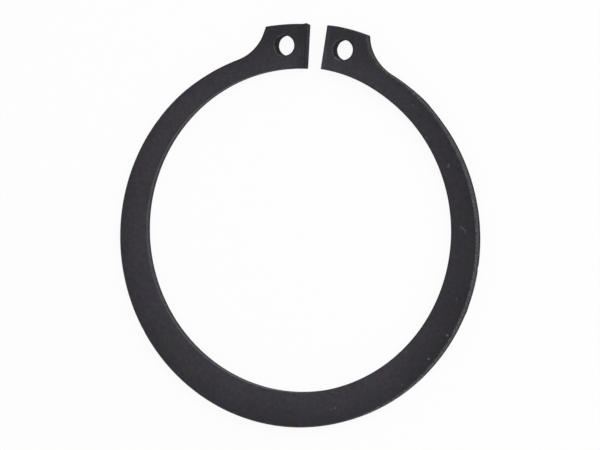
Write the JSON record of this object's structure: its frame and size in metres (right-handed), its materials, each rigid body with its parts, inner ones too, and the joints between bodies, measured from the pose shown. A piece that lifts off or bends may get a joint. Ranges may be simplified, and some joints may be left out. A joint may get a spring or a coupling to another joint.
{
  "type": "external retaining ring",
  "caption": "Flat eccentric spring ring with a gap and lugs with plier holes, which snaps into a shaft groove and stops parts from sliding off.",
  "frame": {"origin": "centre of the inner circle, in the plane of the underside that the ring lies on", "axes": "+Z along the shaft axis, out of the face whose edges are rounded by the punch; +Y through the middle of the gap; X across the ring"},
  "size_m": [0.0594, 0.0635, 0.002],
  "materials": {
    "phosphated_steel": "satin"
  },
  "bodies": {
    "root": {"retaining_ring": "phosphated_steel"}
  },
  "joints": []
}
